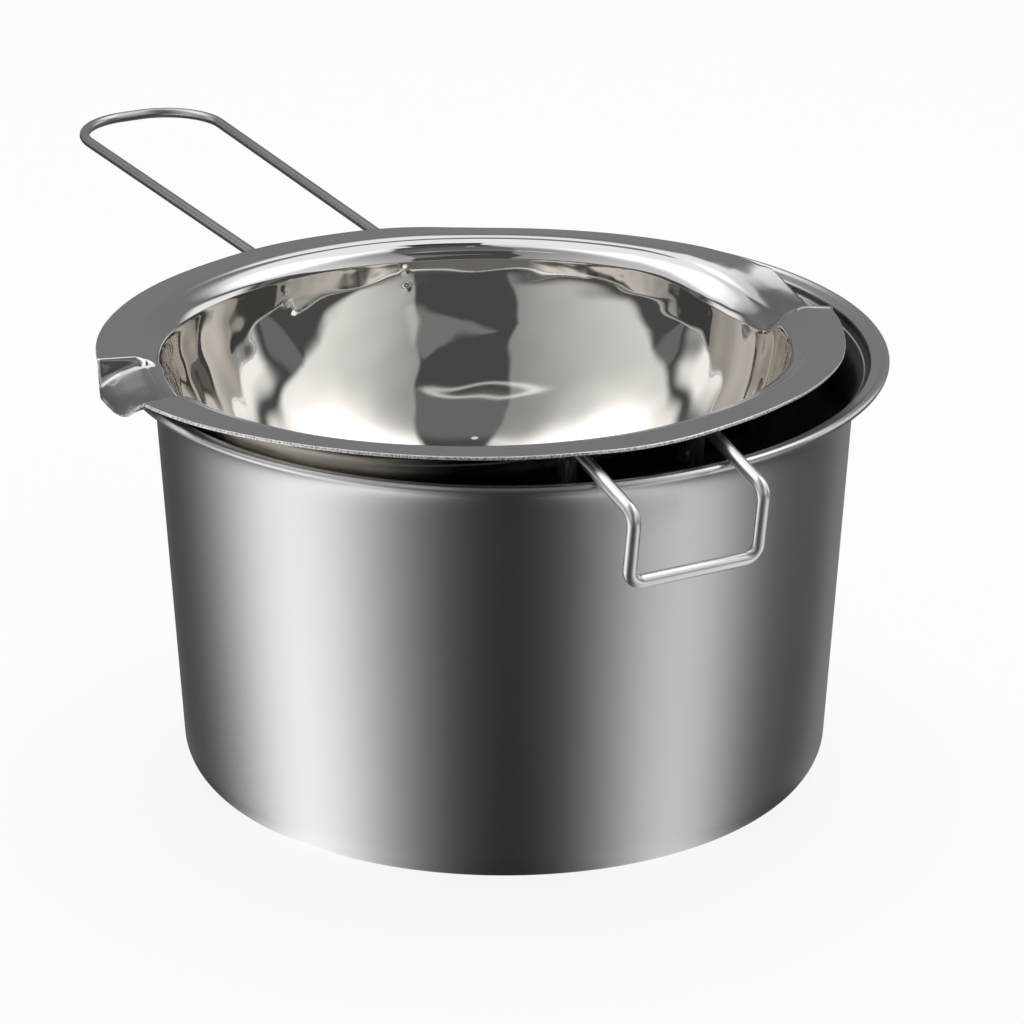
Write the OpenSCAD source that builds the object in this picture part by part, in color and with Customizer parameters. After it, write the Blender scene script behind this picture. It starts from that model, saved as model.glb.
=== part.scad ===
// Double boiler melting pot: a deep pot of water with a melting bowl resting in its mouth.
// The bowl has two pouring spouts, a long wire handle and a wire hook over the pot's rim.
// Millimetres. The origin is the middle of the pot's base on the table, +Z is up and +Y points along the
// long handle. The bowl is drawn in its own frame, with the flange's upper face at z = 0, and then seated.

/* [Pot] */
// Diameter over the rolled edge of the rim
pot_rim_d = 280; // [270:1:300]
// Height from the table to the top of the rim
pot_h = 160; // [135:1:220]
// How far the rim stands out past the top of the wall
pot_overhang = 12.8; // [10:0.1:15]
// How far the wall draws in from the shoulder down to the bottom corner
pot_draft = 7.7; // [2:0.1:14]
// Outer radius of the bottom corner
pot_corner_r = 14; // [6:0.5:24]
// Thickness of the pot's sheet
pot_t = 1; // [0.8:0.1:1.6]
// Height of the shoulder that flares from the wall out to the lip
pot_shoulder_h = 17; // [14:0.5:24]
// Width of the lip, from its inner edge out to the rolled edge
pot_lip_w = 6.5; // [5:0.5:8]
// Height of the step from the ledge in the shoulder up to the lip
pot_step_h = 3; // [2:0.5:4]
// Diameter of the rolled edge
pot_bead_d = 3; // [2.6:0.1:4]

/* [Bowl] */
// Width of the bowl's flat flange, from the turned-down mouth out to the edge
flange_w = 12.6; // [9:0.1:16]
// Depth of the bowl inside, under the flange's upper face
bowl_depth = 86; // [70:1:110]
// Angle by which the bowl's wall leans inwards just under the mouth
wall_lean = 7; // [0:0.5:12]
// Thickness of the bowl's sheet
bowl_t = 0.8; // [0.8:0.1:1.2]
// Radius over which the flange turns down into the bowl's mouth
mouth_r = 9; // [8.4:0.1:11]
// Least room between the bowl and the pot's wall, on the side that the bowl leans to
bowl_gap = 3.3; // [0.5:0.1:6]

/* [Spouts] */
// Width of a spout inside
spout_w = 50; // [30:1:54]
// Depth of a spout at its lip, under the flange
spout_depth = 9.8; // [7:0.1:11]
// Radius in the two lower corners of a spout
spout_corner_r = 6.5; // [4:0.5:7]
// Angle at which a spout falls towards its lip
spout_fall = 11; // [6:0.5:14]
// How far a spout's lip stands out past the flange
spout_out = 1.5; // [0:0.1:4]
// Angle round the bowl from square to the handle to the spouts
spout_turn = 2.5; // [0:0.5:6]

/* [Long handle] */
// Diameter of the handle's wire
handle_d = 4.2; // [3.4:0.1:5]
// Distance between the two legs at the bowl
handle_w = 52; // [40:1:64]
// Distance between the two legs at the far end
handle_end_w = 59; // [54:1:70]
// Length of the handle past the flange
handle_len = 181; // [100:1:220]
// Radius of the two far corners
handle_corner_r = 25; // [8:1:26]
// Angle by which the handle rises from the flange towards its far end
handle_rise = 2.1; // [0:0.1:3]
// Angle round the bowl from square to the seat's tilt to the handle
handle_turn = 1.2; // [0:0.1:4]

/* [Rim hook] */
// Diameter of the hook's wire
hook_d = 5; // [4:0.1:5.8]
// Distance between the hook's two legs
hook_w = 51; // [36:1:64]
// How far the hook stands out past the pot's rim
hook_out = 20.5; // [14:0.5:34]
// Height of the hook's hanging part, between its upper and lower bends
hook_drop = 26; // [16:0.5:60]
// Distance by which the hook's lower bar stands nearer the pot than its upper bends
hook_lean = 4.4; // [0:0.1:6]
// Radius of the hook's outer bends
hook_bend_r = 5.5; // [5:0.1:7.5]
// Angle round the bowl from straight opposite the handle to the hook
hook_turn = 3; // [0:0.5:8]

/* [Welds] */
// Diameter of a spot weld
weld_d = 3.2; // [2.4:0.1:3.4]
// Distance between the two welds on one leg
weld_pitch = 7; // [5:0.1:8]
// Depth of a weld into the bowl's sheet
weld_bite = 0.4; // [0.2:0.05:0.6]

/* [Seat] */
// How far the bowl sits off the pot's axis, towards one spout
seat_side = 13; // [4:0.5:16]
// How far the bowl sits off the pot's axis, towards the hook
seat_front = 3; // [0:0.5:6]
// Angle by which the hook's side of the bowl is raised
seat_tilt = 1.4; // [0.5:0.1:2]
// Clearance under everything that rests on the rim
seat_gap = 0.3; // [0.2:0.05:0.6]
// Clearance between the wires and the bowl's sheet, which the welds fill
wire_gap = 0.5; // [0.3:0.05:0.8]
// Amount by which a wire is thinner in its bends
bend_slim = 0.12; // [0.1:0.01:0.16]

/* [Hidden] */
$fn = 96;

steel = [0.74, 0.74, 0.75];
polished = [0.84, 0.83, 0.81];
wire_grey = [0.6, 0.6, 0.62];
weld_grey = [0.5, 0.48, 0.46];

// Pot
pot_rim_r = pot_rim_d / 2;
pot_wall_r = pot_rim_r - pot_overhang;
shoulder_z = pot_h - pot_shoulder_h;
pot_taper = atan(pot_draft / (shoulder_z - pot_corner_r));
corner_x = pot_wall_r - pot_draft - pot_corner_r;
lip_in_r = pot_rim_r - pot_lip_w;
ledge_r = lip_in_r - pot_step_h * 0.8;

// Bowl: the round wall's own radius comes from the depth, and the wall clears the pot where the pot is narrowest
round_r = bowl_depth / (1 - sin(wall_lean)) - mouth_r;
round_z = (mouth_r + round_r) * sin(wall_lean) - mouth_r;
handle_stack = handle_d + wire_gap + bowl_t + (pot_rim_r + seat_front) * sin(seat_tilt);
narrow = min(pot_shoulder_h + seat_gap + handle_stack + round_z, round_r);
seat_off = norm([seat_side, seat_front]);
room_r = pot_wall_r - pot_t - seat_off - bowl_gap;
mouth_reach = (mouth_r + round_r) * cos(wall_lean) - sqrt((round_r + bowl_t) * (round_r + bowl_t) - narrow * narrow);
flat_r = round((room_r + mouth_reach) * 100) / 100;
flange_r = flat_r + flange_w;
spout_r = flange_r + spout_out;
bottom_r = round((flat_r - (mouth_r + round_r) * cos(wall_lean)) * 100) / 100;
spout_at_rim = spout_depth - tan(spout_fall) * (spout_r - pot_rim_r + seat_side);
seat_z = pot_h + seat_gap + max(handle_stack, spout_at_rim + bowl_t);

// Radius of the bowl's outer face at a depth under the flange
function wall_at(depth) = bottom_r + sqrt(pow(round_r + bowl_t, 2) - pow(depth + round_z, 2));

// Wires: each lies under the flange, and its legs follow the bowl's wall through their two welds
leg_foot = mouth_r + weld_pitch + 1.8 * weld_d;
weld_depths = [mouth_r + weld_d / 2, mouth_r + weld_d / 2 + weld_pitch];
function weld_y(i, w, stand) = sqrt(pow(wall_at(weld_depths[i]) + stand, 2) - w * w / 4);
function leg_y(depth, w, stand) =
  weld_y(0, w, stand) + (weld_y(0, w, stand) - weld_y(1, w, stand)) * (weld_depths[0] - depth) / weld_pitch;
handle_stand = wire_gap + handle_d / 2;
handle_z = -(bowl_t + handle_stand);
handle_foot_y = leg_y(-handle_z, handle_w, handle_stand);
handle_end_y = flange_r + handle_len;
handle_foot_z = handle_z - tan(handle_rise) * (flange_r - handle_foot_y);
handle_end_z = handle_z + tan(handle_rise) * handle_len;
hook_stand = wire_gap + hook_d / 2;
hook_z = -(bowl_t + hook_stand);
hook_foot_y = leg_y(-hook_z, hook_w, hook_stand);
hook_rim_y = pot_rim_r - seat_front;
hook_rim_z = pot_h - seat_z - hook_rim_y * tan(seat_tilt) + seat_gap + hook_d / 2;
hook_fall = max((hook_z - hook_rim_z) / (hook_rim_y - hook_foot_y), 0);
hook_end_y = hook_rim_y + hook_out;
hook_end_z = hook_z - hook_fall * (hook_end_y - hook_foot_y);
hook_low_z = hook_end_z - hook_drop;

// Section through the pot's tapered body, filled to the axis, grown inwards by t
module pot_body_section(t, top) {
  r = pot_corner_r - t;
  foot = [corner_x + r * cos(pot_taper), pot_corner_r - r * sin(pot_taper)];
  polygon([
    [0, t],
    [corner_x, t],
    foot,
    [pot_wall_r - t / cos(pot_taper), shoulder_z],
    [pot_wall_r - t / cos(pot_taper), top],
    [0, top],
  ]);
  translate([corner_x, pot_corner_r])
    circle(r);
}

// Section through the shoulder, its ledge, the step up to the lip and the rolled edge
module pot_rim_section() {
  low = pot_h - pot_bead_d / 2 - pot_t / 2;
  ledge_z = low - pot_step_h;
  wall_in = pot_wall_r - pot_t / cos(pot_taper);
  polygon([
    [wall_in, shoulder_z],
    [pot_wall_r, shoulder_z],
    [ledge_r + pot_t * 0.9, ledge_z - pot_t * 0.6],
    [lip_in_r + pot_t * 0.9, low - pot_t * 0.4],
    [pot_rim_r - pot_bead_d / 2, low],
    [pot_rim_r - pot_bead_d / 2, low + pot_t],
    [lip_in_r, low + pot_t * 0.6],
    [ledge_r, ledge_z + pot_t * 0.6],
    [ledge_r - pot_t, ledge_z],
  ]);
  translate([pot_rim_r - pot_bead_d / 2, pot_h - pot_bead_d / 2])
    circle(pot_bead_d / 2);
}

module pot_shell() {
  color(steel)
    rotate_extrude() {
      difference() {
        pot_body_section(0, shoulder_z);
        pot_body_section(pot_t, shoulder_z + 1);
      }
      pot_rim_section();
    }
}

// Takes its children from the bowl's own frame to where the bowl sits in the pot
module seated() {
  translate([-seat_side, -seat_front, seat_z])
    rotate([-seat_tilt, 0, 0])
      children();
}

// Section through the air in the bowl up to the height top, filled to the axis and grown by t. The round wall
// meets the turned-down mouth on the line between their two centres.
module bowl_air_section(t, top) {
  turn = [flat_r - (mouth_r - t) * cos(wall_lean), (mouth_r - t) * sin(wall_lean) - mouth_r];
  deep = -bowl_depth - t;
  intersection() {
    translate([bottom_r, round_z])
      circle(round_r + t);
    translate([0, deep])
      square([flange_r, -deep - bowl_t]);
  }
  polygon([[0, deep], [bottom_r, deep], turn, [0, turn[1]]]);
  difference() {
    polygon([[0, turn[1]], turn, [flat_r, -mouth_r], [flat_r, top], [0, top]]);
    translate([flat_r, -mouth_r])
      circle(mouth_r - t);
  }
}

// Section through the bowl's sheet: flat flange, turned-down mouth, round wall and flat bottom
module bowl_section() {
  translate([flat_r, -bowl_t])
    square([flange_r - flat_r, bowl_t]);
  difference() {
    bowl_air_section(bowl_t, 0);
    bowl_air_section(0, 1);
  }
}

// A spout's channel, grown by t, running out along +X and falling to its lip
module spout_channel(t) {
  half = spout_w / 2 - spout_corner_r;
  run = spout_r - flat_r + 2 * mouth_r;
  translate([spout_r, 0, -spout_depth])
    rotate([0, spout_fall, 0])
      rotate([90, 0, 90])
        translate([0, 0, -run])
          linear_extrude(run + mouth_r) {
            for (side = [-1, 1])
              translate([side * half, spout_corner_r])
                circle(spout_corner_r + t);
            translate([-half, -t])
              square([2 * half, spout_corner_r + t]);
            translate([-spout_w / 2 - t, spout_corner_r])
              square([spout_w + 2 * t, 2 * spout_depth]);
          }
}

module bowl_shell() {
  color(polished)
    seated()
      difference() {
        union() {
          rotate_extrude()
            bowl_section();
          for (turn = [0, 180])
            rotate(turn - spout_turn)
              intersection() {
                spout_channel(bowl_t);
                translate([0, 0, -2 * spout_depth])
                  cylinder(h = 2 * spout_depth, r = spout_r);
              }
        }
        for (turn = [0, 180])
          rotate(turn - spout_turn)
            spout_channel(0);
        rotate_extrude()
          bowl_air_section(0, 1);
      }
}

function unit(v) = v / norm(v);

// A straight length of round wire between two points
module wire_run(from, to, d) {
  along = to - from;
  translate(from)
    rotate([0, acos(along[2] / norm(along)), atan2(along[1], along[0])])
      cylinder(h = norm(along), d = d);
}

// A round wire along a list of points, bent at each inner point to the radius given for it. The straight
// runs lap a little way into the bends, where the wire is slimmer.
module bent_wire(points, radii, d) {
  last = len(points) - 1;
  turns = [
    for (i = [1 : last - 1])
      acos(unit(points[i] - points[i - 1]) * unit(points[i + 1] - points[i]))
  ];
  cuts = [
    for (i = [0 : last])
      i == 0 || i == last ? 0 : radii[i - 1] * tan(turns[i - 1] / 2)
  ];
  laps = [for (c = cuts) c > 0 ? c - 2.5 * bend_slim : 0];
  for (i = [0 : last - 1]) {
    along = unit(points[i + 1] - points[i]);
    wire_run(points[i] + along * laps[i], points[i + 1] - along * laps[i + 1], d);
  }
  for (i = [1 : last - 1]) {
    arrive = unit(points[i] - points[i - 1]);
    leave = unit(points[i + 1] - points[i]);
    inward = unit(leave - arrive);
    r = radii[i - 1];
    centre = points[i] + inward * r / cos(turns[i - 1] / 2);
    out = unit(points[i] - arrive * cuts[i] - centre);
    side = cross(out, arrive);
    multmatrix([
      [out[0], arrive[0], side[0], centre[0]],
      [out[1], arrive[1], side[1], centre[1]],
      [out[2], arrive[2], side[2], centre[2]],
    ])
      rotate_extrude(angle = turns[i - 1])
        translate([r, 0])
          circle(d = d - bend_slim);
  }
}

// The same points with left and right exchanged, in reverse, so that a wire comes back down its other leg
function mirrored(points) = [
  for (i = [len(points) - 1 : -1 : 0])
    [-points[i][0], points[i][1], points[i][2]]
];

module long_handle() {
  leg = [
    [handle_w / 2, leg_y(leg_foot, handle_w, handle_stand), -leg_foot],
    [handle_w / 2, handle_foot_y, handle_foot_z],
    [handle_end_w / 2, handle_end_y, handle_end_z],
  ];
  under_bend = mouth_r + handle_foot_z;
  color(wire_grey)
    seated()
      rotate(handle_turn)
        bent_wire(
          concat(leg, mirrored(leg)),
          [under_bend, handle_corner_r, handle_corner_r, under_bend],
          handle_d
        );
}

module rim_hook() {
  leg = [
    [hook_w / 2, -leg_y(leg_foot, hook_w, hook_stand), -leg_foot],
    [hook_w / 2, -hook_foot_y, hook_z],
    [hook_w / 2, -hook_end_y, hook_end_z],
    [hook_w / 2, hook_lean - hook_end_y, hook_low_z],
  ];
  under_bend = mouth_r + hook_z;
  color(wire_grey)
    seated()
      rotate(hook_turn)
        bent_wire(
          concat(leg, mirrored(leg)),
          [under_bend, hook_bend_r, hook_bend_r, hook_bend_r, hook_bend_r, under_bend],
          hook_d
        );
}

// Spot welds of a wire's two legs: each is a plug from inside the bowl's sheet to the middle of the wire
module leg_welds(w, stand) {
  for (side = [-1, 1], depth = weld_depths) {
    sheet_r = wall_at(depth);
    half_angle = asin(w / 2 / (sheet_r + stand));
    rotate(90 + side * half_angle)
      translate([sheet_r - weld_bite, 0, -depth])
        rotate([0, 90, 0])
          cylinder(h = stand + weld_bite, d = weld_d);
  }
}

module handle_welds() {
  color(weld_grey)
    seated()
      rotate(handle_turn)
        leg_welds(handle_w, handle_stand);
}

module hook_welds() {
  color(weld_grey)
    seated()
      rotate(180 + hook_turn)
        leg_welds(hook_w, hook_stand);
}

pot_shell();
bowl_shell();
long_handle();
handle_welds();
rim_hook();
hook_welds();
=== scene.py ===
import math
import bpy
import numpy as np
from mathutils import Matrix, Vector


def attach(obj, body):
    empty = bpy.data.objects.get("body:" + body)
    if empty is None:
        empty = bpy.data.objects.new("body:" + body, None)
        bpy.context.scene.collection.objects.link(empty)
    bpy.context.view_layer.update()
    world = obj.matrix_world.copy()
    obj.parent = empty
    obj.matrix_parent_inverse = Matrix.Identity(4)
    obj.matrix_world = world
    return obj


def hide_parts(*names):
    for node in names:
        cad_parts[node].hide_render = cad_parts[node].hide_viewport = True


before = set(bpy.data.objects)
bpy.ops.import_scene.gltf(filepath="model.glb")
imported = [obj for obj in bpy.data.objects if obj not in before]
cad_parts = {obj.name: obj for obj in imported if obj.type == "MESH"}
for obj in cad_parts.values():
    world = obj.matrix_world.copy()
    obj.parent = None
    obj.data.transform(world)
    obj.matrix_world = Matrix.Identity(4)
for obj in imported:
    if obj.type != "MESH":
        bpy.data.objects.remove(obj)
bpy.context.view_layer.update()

# Pot
# One deep-drawn stainless sheet: flat base, round corner, tapered wall, a shoulder that flares to a ledge,
# a short step up to the lip, and a rolled edge. The outside is satin, with fine lines from the lathe.
scene = bpy.context.scene
MM = 0.001


def steps(a, b, n):
    return [a + (b - a) * i / n for i in range(n)]


def arc(cx, cz, r, a0, a1, n):
    angles = [math.radians(a) for a in steps(a0, a1, n)]
    return [(cx + r * math.cos(a), cz + r * math.sin(a)) for a in angles]


def bend(p0, p1, p2, p3, n):
    """Points along a smooth bend, from its two ends and the two points that it leans towards."""
    out = []
    for t in steps(0, 1, n):
        u = 1 - t
        out.append(tuple(
            u**3 * p0[k] + 3 * u * u * t * p1[k] + 3 * u * t * t * p2[k] + t**3 * p3[k] for k in (0, 1)
        ))
    return out


def line(p0, p1, n):
    return [(p0[0] + (p1[0] - p0[0]) * t, p0[1] + (p1[1] - p0[1]) * t) for t in steps(0, 1, n)]


def mesh_piece(name, verts, faces, material):
    """A smooth piece at the origin, with its place in its mesh."""
    mesh = bpy.data.meshes.new(name)
    mesh.from_pydata([tuple(v) for v in verts], [], faces)
    mesh.validate()
    mesh.update()
    mesh.shade_smooth()
    mesh.materials.append(material)
    obj = bpy.data.objects.new(name, mesh)
    scene.collection.objects.link(obj)
    return obj


def node(tree, kind, **values):
    """A new node, with its sockets or settings given by name."""
    n = tree.nodes.new(kind)
    for key, value in values.items():
        if key in n.inputs:
            n.inputs[key].default_value = value
        else:
            setattr(n, key, value)
    return n


def steel(name, tint, roughness):
    """Bare steel of one tint and roughness, for a piece's own finish to build on."""
    mat = bpy.data.materials.new(name)
    mat.use_nodes = True
    tree = mat.node_tree
    shader = tree.nodes["Principled BSDF"]
    shader.inputs["Base Color"].default_value = (*tint, 1)
    shader.inputs["Metallic"].default_value = 1.0
    shader.inputs["Roughness"].default_value = roughness
    return mat, tree, shader


def ranged(tree, value, low, high):
    """A value from 0 to 1, spread over another range."""
    spread = node(tree, "ShaderNodeMapRange")
    spread.inputs["To Min"].default_value = low
    spread.inputs["To Max"].default_value = high
    tree.links.new(value, spread.inputs["Value"])
    return spread


def raised(tree, shader, height, strength, distance):
    """Fine relief too small for the mesh."""
    bump = node(tree, "ShaderNodeBump", Strength=strength, Distance=distance)
    tree.links.new(height, bump.inputs["Height"])
    tree.links.new(bump.outputs[0], shader.inputs["Normal"])
    return bump


def painted(obj, name, values):
    """A number at each point of a piece, for its material to read."""
    obj.data.attributes.new(name, "FLOAT", "POINT").data.foreach_set("value", values)


POT_SIDES, POT_SHEET, MIDDLE_R = 256, 1.0, 4
WALL_NARROWING, WALL_HEIGHT = 7.7, 129
POT_TAPER = math.degrees(math.atan(WALL_NARROWING / WALL_HEIGHT))
CORNER, CORNER_OUT = (105.5, 14.0), 14
CORNER_IN = CORNER_OUT - POT_SHEET
outer_foot, inner_foot = (
    (CORNER[0] + r * math.cos(math.radians(POT_TAPER)), CORNER[1] - r * math.sin(math.radians(POT_TAPER)))
    for r in (CORNER_OUT, CORNER_IN)
)
pot_profile = (
    line((MIDDLE_R, POT_SHEET), (CORNER[0], POT_SHEET), 8)
    + arc(*CORNER, CORNER_IN, -90, -POT_TAPER, 14)
    + line(inner_foot, (126.2, 143), 14)
    + bend((126.2, 143), (126.7, 148.8), (127.8, 152.8), (130.6, 155.0), 10)
    + line((130.6, 155.0), (130.9, 155.15), 1)
    + line((130.9, 155.15), (131.3, 155.4), 2)
    + bend((131.3, 155.4), (132.3, 155.5), (132.7, 155.9), (132.8, 156.7), 9)
    + line((132.8, 156.7), (132.9, 157.6), 2)
    + bend((132.9, 157.6), (133.0, 158.3), (133.4, 158.6), (134.2, 158.75), 6)
    + line((134.2, 158.75), (136.9, 159.3), 4)
    + arc(138.5, 158.5, 1.5, 150, -170, 26)
    + line((137.0, 158.1), (134.4, 157.5), 3)
    + bend((134.4, 157.5), (133.0, 157.0), (132.6, 155.2), (131.4, 154.2), 8)
    + bend((131.4, 154.2), (128.6, 152.2), (127.6, 148.5), (127.2, 143), 10)
    + line((127.2, 143), outer_foot, 14)
    + arc(*CORNER, CORNER_OUT, -POT_TAPER, -90, 18)
    + line((CORNER[0], 0), (MIDDLE_R, 0), 8)
    + [(MIDDLE_R, 0)]
)
pot_verts = []
for k in range(POT_SIDES):
    a = 2 * math.pi * k / POT_SIDES
    pot_verts += [(r * math.cos(a) * MM, r * math.sin(a) * MM, z * MM) for r, z in pot_profile]
rows = len(pot_profile)
pot_faces = []
for k in range(POT_SIDES):
    m = (k + 1) % POT_SIDES
    for i in range(rows - 1):
        pot_faces.append((k * rows + i, k * rows + i + 1, m * rows + i + 1, m * rows + i))
pot_verts += [(0, 0, POT_SHEET * MM), (0, 0, 0)]
top_pole, low_pole = len(pot_verts) - 2, len(pot_verts) - 1
for k in range(POT_SIDES):
    m = (k + 1) % POT_SIDES
    pot_faces.append((top_pole, k * rows, m * rows))
    pot_faces.append((low_pole, m * rows + rows - 1, k * rows + rows - 1))

pot_mat, tree, shader = steel("satin_pot_steel", (0.62, 0.62, 0.63), 0.3)
shader.inputs["Anisotropic"].default_value = 0.75
shader.inputs["Anisotropic Rotation"].default_value = 0.25
coords = node(tree, "ShaderNodeTexCoord")
# lathe lines: noise that is fine up the wall and long round it
stretch = node(tree, "ShaderNodeMapping")
stretch.inputs["Scale"].default_value = (2, 2, 900)
tree.links.new(coords.outputs["Object"], stretch.inputs["Vector"])
lines = node(tree, "ShaderNodeTexNoise", Scale=3.0, Detail=4.0, Roughness=0.6)
tree.links.new(stretch.outputs[0], lines.inputs["Vector"])
tree.links.new(ranged(tree, lines.outputs["Fac"], 0.27, 0.33).outputs[0], shader.inputs["Roughness"])
raised(tree, shader, lines.outputs["Fac"], 0.05, 0.0002)

# painted shade: the inside is painted darker, and under the lip it is painted black on the side away from the
# bowl, with a painted highlight as a bright line along the corner of the shoulder. The rows count up the
# section from the middle of the base.
SATIN, PAINTED_INSIDE_SHADE, PAINTED_LEDGE_SHADE, PAINTED_CORNER_HIGHLIGHT, PAINTED_SHADE_EDGE = 0.62, 0.4, 0.05, 1.0, 0.3
INSIDE_ROWS, SHOULDER_ROWS, LINE_ROWS, STEP_ROWS = 35, 12, 2, 14
SHADED_SIDE, SHADED_ENDS, SHADED_FADE = math.radians(-66), 0.34, 0.2
painted_under_lip = [PAINTED_LEDGE_SHADE] * SHOULDER_ROWS + [PAINTED_CORNER_HIGHLIGHT] * LINE_ROWS + [PAINTED_LEDGE_SHADE] * STEP_ROWS + [PAINTED_SHADE_EDGE]
pot_tone = []
for k in range(POT_SIDES):
    shaded = (math.cos(2 * math.pi * k / POT_SIDES - SHADED_SIDE) - SHADED_ENDS) / SHADED_FADE
    shaded = min(1.0, max(0.0, shaded))
    column = [PAINTED_INSIDE_SHADE] * INSIDE_ROWS + [SATIN + (tone - SATIN) * shaded for tone in painted_under_lip]
    pot_tone += column + [SATIN] * (rows - len(column))
tone = node(tree, "ShaderNodeAttribute", attribute_name="tone")
tree.links.new(tone.outputs["Fac"], shader.inputs["Base Color"])
pot = mesh_piece("pot", pot_verts, pot_faces, pot_mat)
painted(pot, "tone", pot_tone + [PAINTED_INSIDE_SHADE, SATIN])
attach(pot, "pot")
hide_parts("pot_shell")

# Melting bowl
# One pressed stainless sheet: a round mirror-polished inside with leaning walls, a mouth turned out to a flat
# satin flange with a sheared edge, and two spouts pressed into the flange with a crease on each shoulder.
DEPTH, BOTTOM_R, ROUND_R, ROUND_Z = 86.0, 24.71, 88.935, 2.935
FLAT_START, FLANGE_R, MOUTH_R, MOUTH_WIDE, WALL_LEAN = 124.4, 134.52, 9.0, 11.5, 7.0
SHEET, SHEARED = 0.8, 1.1
LIP_REACH = 135.8
SEAT, SEAT_TILT = np.array((-13.0, -3.0, 169.294)), math.radians(1.4)
YAW = math.radians(26)


def seated(p):
    """From the bowl's own frame to where it rests on the pot's rim, off centre and a little tilted."""
    p = np.asarray(p, float)
    c, s = math.cos(SEAT_TILT), math.sin(SEAT_TILT)
    return np.stack([p[..., 0], p[..., 1] * c + p[..., 2] * s, p[..., 2] * c - p[..., 1] * s], -1) + SEAT


def ease(t):
    """From 0 to 1 with soft ends."""
    t = np.clip(t, 0, 1)
    return t * t * (3 - 2 * t)


# how deep the spouts are pressed at the mouth, halfway out and at the lip, and how far the flange's edge
# stands out and its face bends up or down, all in millimetres at angles round the bowl
MOUTH_PRESS = [
    (-14.4, 0), (-13.3, -0.7), (-12.5, 0), (-11.5, 1.2), (-10.3, 3.5), (-9, 5.5), (-6.7, 7.5), (-0.2, 7.8),
    (6.8, 7.4), (12.9, 6.2), (17, 4.6), (21, 2.8), (26, 1), (32, 0),
    (165, 0), (165.7, 0.7), (167.5, 1.2), (171, 2), (175, 3), (179, 3.8), (182.5, 4), (184, 2.4),
    (185.5, 0.5), (186.2, 0),
]
HALFWAY_PRESS = [
    (-13.7, 0), (-13, -0.9), (-12.3, 0), (-11.3, 2), (-10, 5.5), (-8, 7.8), (-4, 8.4), (0, 7.8), (5, 6.2),
    (10, 4), (14, 2.2), (18, 1), (24, 0),
    (165.2, 0), (165.5, 1.6), (166.1, 3.4), (166.8, 4.1), (169, 4.8), (173, 5.9), (177, 6.6), (180.5, 6.6),
    (183, 5), (185, 1.8), (186.6, 0),
]
LIP_PRESS = [
    (-13.6, 0), (-12.9, -0.8), (-12.2, 0), (-11.5, 1), (-10.5, 4), (-9, 8), (-7, 9.5), (-4, 9.3), (-0.5, 7.8),
    (2.5, 6.2), (5.3, 4.3), (7.9, 2.2), (10.3, 0),
    (165.2, 0), (165.5, 3), (166.1, 7), (166.9, 9), (169, 10.2), (172, 12), (174.5, 13), (176.5, 12.8),
    (178.5, 11.4), (180.5, 8.8), (182.5, 5.6), (184.9, 2.2), (186.9, 0),
]
EDGE_OUT = [
    (-60, 0), (-26, -1.1), (-13, -0.6), (-11, 1.4), (9, 1.4), (11, 0),
    (110, 0), (140, 1.2), (155, 2.2), (165.3, 2.7), (169.5, 3.8), (187, 2.6), (197, 1.2), (225, 0),
]
WARP = [
    (-75, -0.3), (-62, 0), (-45, -1.2), (-35, -2.6), (-15, -2), (0, -1), (10, 0), (14, -0.2), (18, -0.5),
    (26, -0.8), (34, -1.2), (50, -1.7), (62, -1.9), (68, -1.5), (74, -0.6), (80, -0.1), (100, 0),
    (115, -0.6), (140, -0.4), (165, 0), (197, -0.2), (209, 0.6), (220, 0.8), (230, 0.7), (241, 0.3),
    (255, -0.3), (260, -0.3), (268, -1.1), (276, -1.1), (285, -0.3),
]
WELD_ANGLES = [78.2, 104.2, 260.3, 285.7]
WELD_DEPTHS = [10.6, 17.6]


def round_bowl(points, theta, soft):
    """Heights at some angles, as a smooth line round the bowl: soft is a bend's half width in degrees."""
    at, by = np.array(points, float).T
    fine, seam = 0.05, 74
    grid = np.arange(-180, 450, fine)
    spread = np.exp(-0.5 * (np.arange(-60, 61) * fine / soft) ** 2)
    smoothed = np.convolve(np.interp(grid, at, by), spread / spread.sum(), "same")
    return np.interp((theta + seam) % 360 - seam, grid, smoothed)


# columns of the mesh, closer together at the spouts, their creases and the welds
COLUMN_STEP, CLOSEST_COLUMNS = 1.25, 0.06
columns = set(np.arange(0, 360, COLUMN_STEP))
RIGHT_SPOUT = ((-15, 26, 0.5), (-14.5, -11.5, 0.15), (-11.5, -8, 0.25))
LEFT_SPOUT = ((162, 190, 0.5), (164, 168, 0.15), (184, 188, 0.25))
for start, stop, step in RIGHT_SPOUT + LEFT_SPOUT:
    columns |= set(np.arange(start, stop, step))
for weld in WELD_ANGLES:
    columns |= set(weld + np.arange(-1.4, 1.41, 0.2))
columns = np.array(sorted(set(np.round(np.mod(sorted(columns), 360), 2))))
columns = columns[np.append(True, np.diff(columns) > CLOSEST_COLUMNS)]


def mouth_section(n):
    """The mouth from the wall up to the flat: the press leaves two soft beads, one above the other."""
    along = np.linspace(0, 1, 400)
    tilt = np.radians(np.interp(along, [0, 0.26, 0.31, 0.36, 0.7, 1], [0, 27, 4, 19, 42, 90 - WALL_LEAN]))
    run, fall = np.cumsum(np.cos(tilt)), np.cumsum(np.sin(tilt))
    lean = math.radians(WALL_LEAN)
    r = FLAT_START - MOUTH_WIDE * math.cos(lean) * run / run[-1]
    z = -MOUTH_R * (1 - math.sin(lean)) * fall / fall[-1]
    spots = 1 - (np.arange(n) + 1) / n
    return [(np.interp(u, along, r), np.interp(u, along, z), 0.0) for u in spots]


# degrees below level, above which the rows of the round lie closer together
HIGH_WALL = 20


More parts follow.
